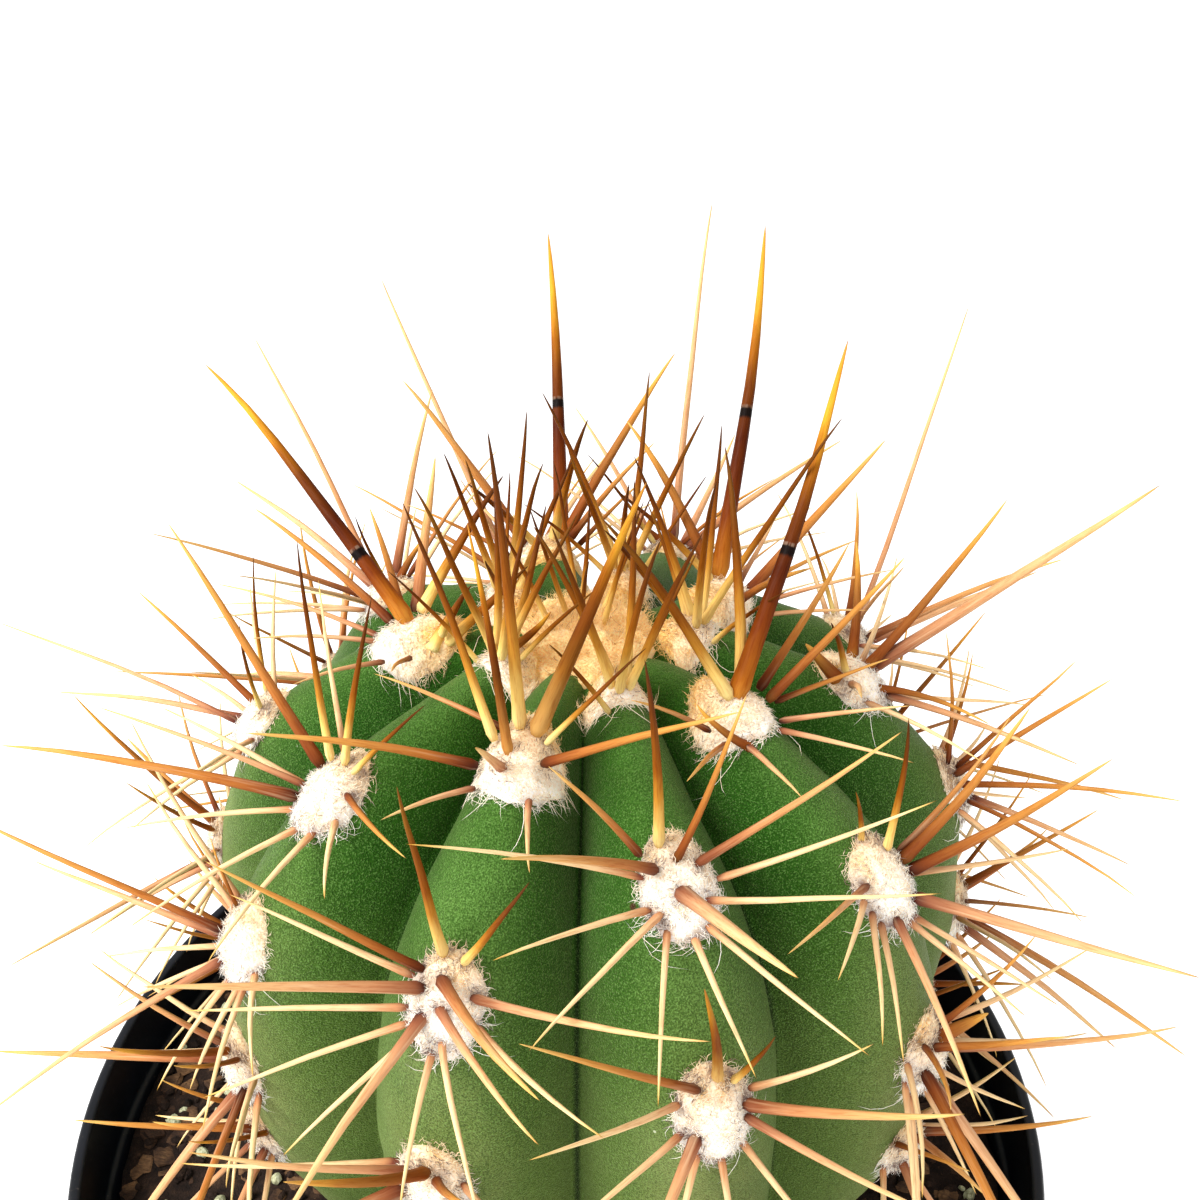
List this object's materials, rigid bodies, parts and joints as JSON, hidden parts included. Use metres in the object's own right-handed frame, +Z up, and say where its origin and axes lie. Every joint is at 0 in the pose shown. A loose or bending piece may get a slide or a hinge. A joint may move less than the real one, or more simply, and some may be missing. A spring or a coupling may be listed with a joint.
{
  "type": "potted torch cactus",
  "caption": "Round ribbed globe of a cactus with white woolly areoles and long tan and brown spines, standing in potting soil in a plain black tapered nursery pot.",
  "frame": {"origin": "centre of the pot's flat base, on the surface that it stands on", "axes": "+Z up along the pot's axis, -Y towards the viewer, +X to the viewer's right"},
  "size_m": [0.1812, 0.1725, 0.3034],
  "materials": {
    "pot_plastic": "satin black moulded plastic with a bluish sheen",
    "potting_mix": "dark brown bark and peat mix with pale perlite grains",
    "cactus_skin": "velvety green plant skin with a fine pale grain",
    "spines": "smooth tan, salmon and dark brown spines in white woolly felt",
    "wool": "cream and golden woolly felt"
  },
  "bodies": {
    "root": {"pot": "pot_plastic", "soil": "potting_mix", "stem": "cactus_skin", "areole_a1": "spines", "areole_a2": "spines", "areole_a3": "spines", "areole_a4": "spines", "areole_a5": "spines", "areole_b1": "spines", "areole_b2": "spines", "areole_b3": "spines", "areole_b4": "spines", "areole_c1": "spines", "areole_c2": "spines", "areole_c3": "spines", "areole_c4": "spines", "areole_c5": "spines", "areole_d1": "spines", "areole_d2": "spines", "areole_d3": "spines", "areole_d4": "spines", "areole_e1": "spines", "areole_e2": "spines", "areole_e3": "spines", "areole_e4": "spines", "areole_e5": "spines", "areole_f1": "spines", "areole_f2": "spines", "areole_f3": "spines", "areole_f4": "spines", "areole_g1": "spines", "areole_g2": "spines", "areole_g3": "spines", "areole_g4": "spines", "areole_g5": "spines", "areole_h1": "spines", "areole_h2": "spines", "areole_h3": "spines", "areole_h4": "spines", "areole_i1": "spines", "areole_i2": "spines", "areole_i3": "spines", "areole_i4": "spines", "areole_i5": "spines", "areole_j1": "spines", "areole_j2": "spines", "areole_j3": "spines", "areole_j4": "spines", "crown_wool": "wool"}
  },
  "joints": []
}
